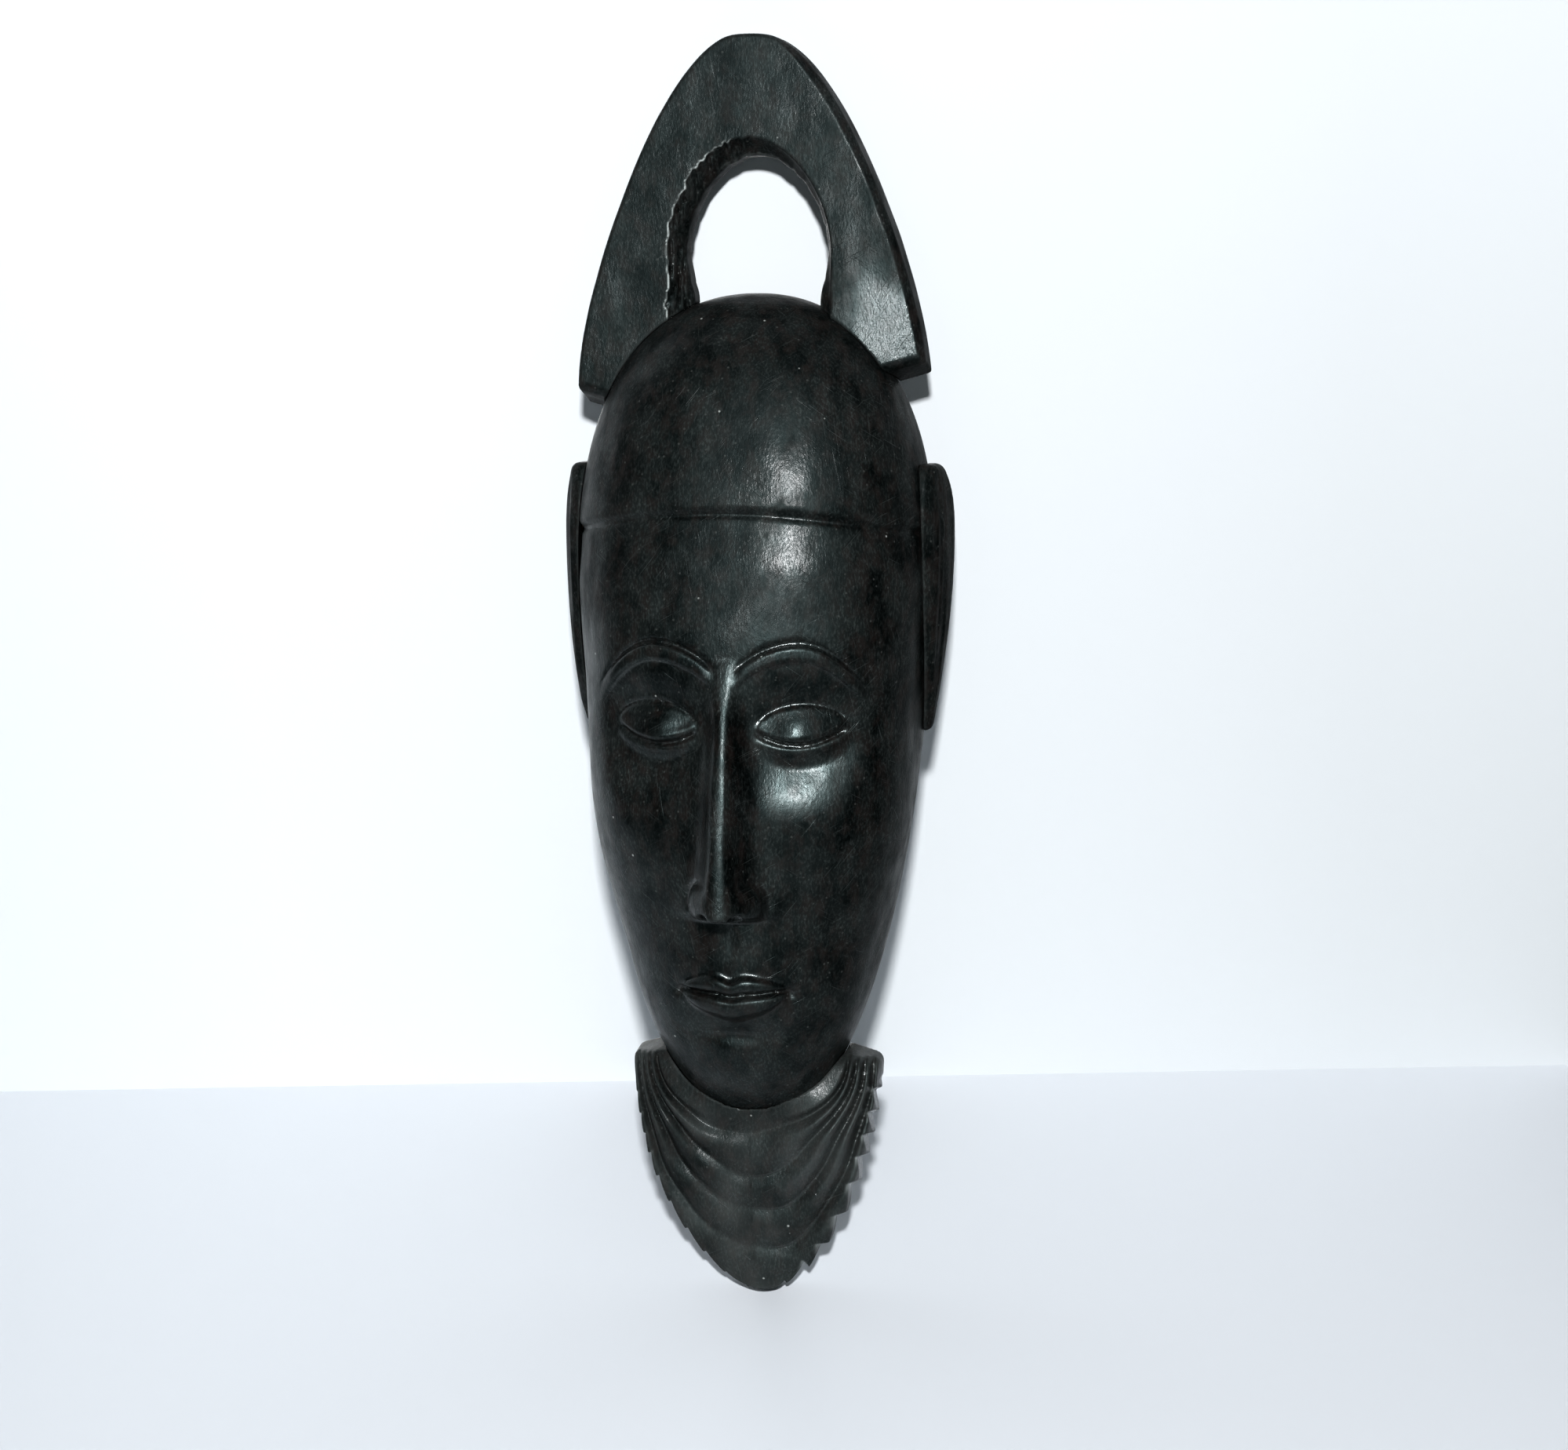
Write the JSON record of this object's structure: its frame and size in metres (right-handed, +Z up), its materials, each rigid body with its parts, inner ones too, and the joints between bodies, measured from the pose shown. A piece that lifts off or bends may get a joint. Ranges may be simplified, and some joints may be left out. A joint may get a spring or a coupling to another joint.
{
  "type": "wall mask",
  "caption": "Long oval carved dark wood wall mask with a pointed crest arch, flat side ear plates, notched beard collar and a swinging D-ring hanger in its hollow back.",
  "frame": {"origin": "on the flat back plane, on the centre line, at the foot of the beard", "axes": "+Z up the mask to the crest's point, front of the mask faces -Y, +Y into the wall, +X to the right as seen from the front"},
  "size_m": [0.1006, 0.0509, 0.32],
  "materials": {
    "carved_wood": "waxed and hand polished black hardwood, satin to glossy, bare and grey in the cuts",
    "dowel_wood": "plain turned hardwood",
    "hanger_brass": "dull, slightly tarnished",
    "screw_steel": "zinc plated"
  },
  "bodies": {
    "mask": {"face_block": "carved_wood", "crest_arch": "carved_wood", "ear_plate_left": "carved_wood", "ear_plate_right": "carved_wood", "beard_collar": "carved_wood", "crest_dowels": "dowel_wood", "ear_dowels": "dowel_wood", "beard_dowels": "dowel_wood", "hanger_strap": "hanger_brass", "hanger_screw": "screw_steel"},
    "ring": {"hanger_ring": "hanger_brass"}
  },
  "joints": [
    {"name": "ring_swing", "type": "hinge", "parent": "mask", "child": "ring", "pos_m": [0, -0.0051, 0.226], "axis": [1, 0, 0], "range_deg": [0, 180]}
  ]
}
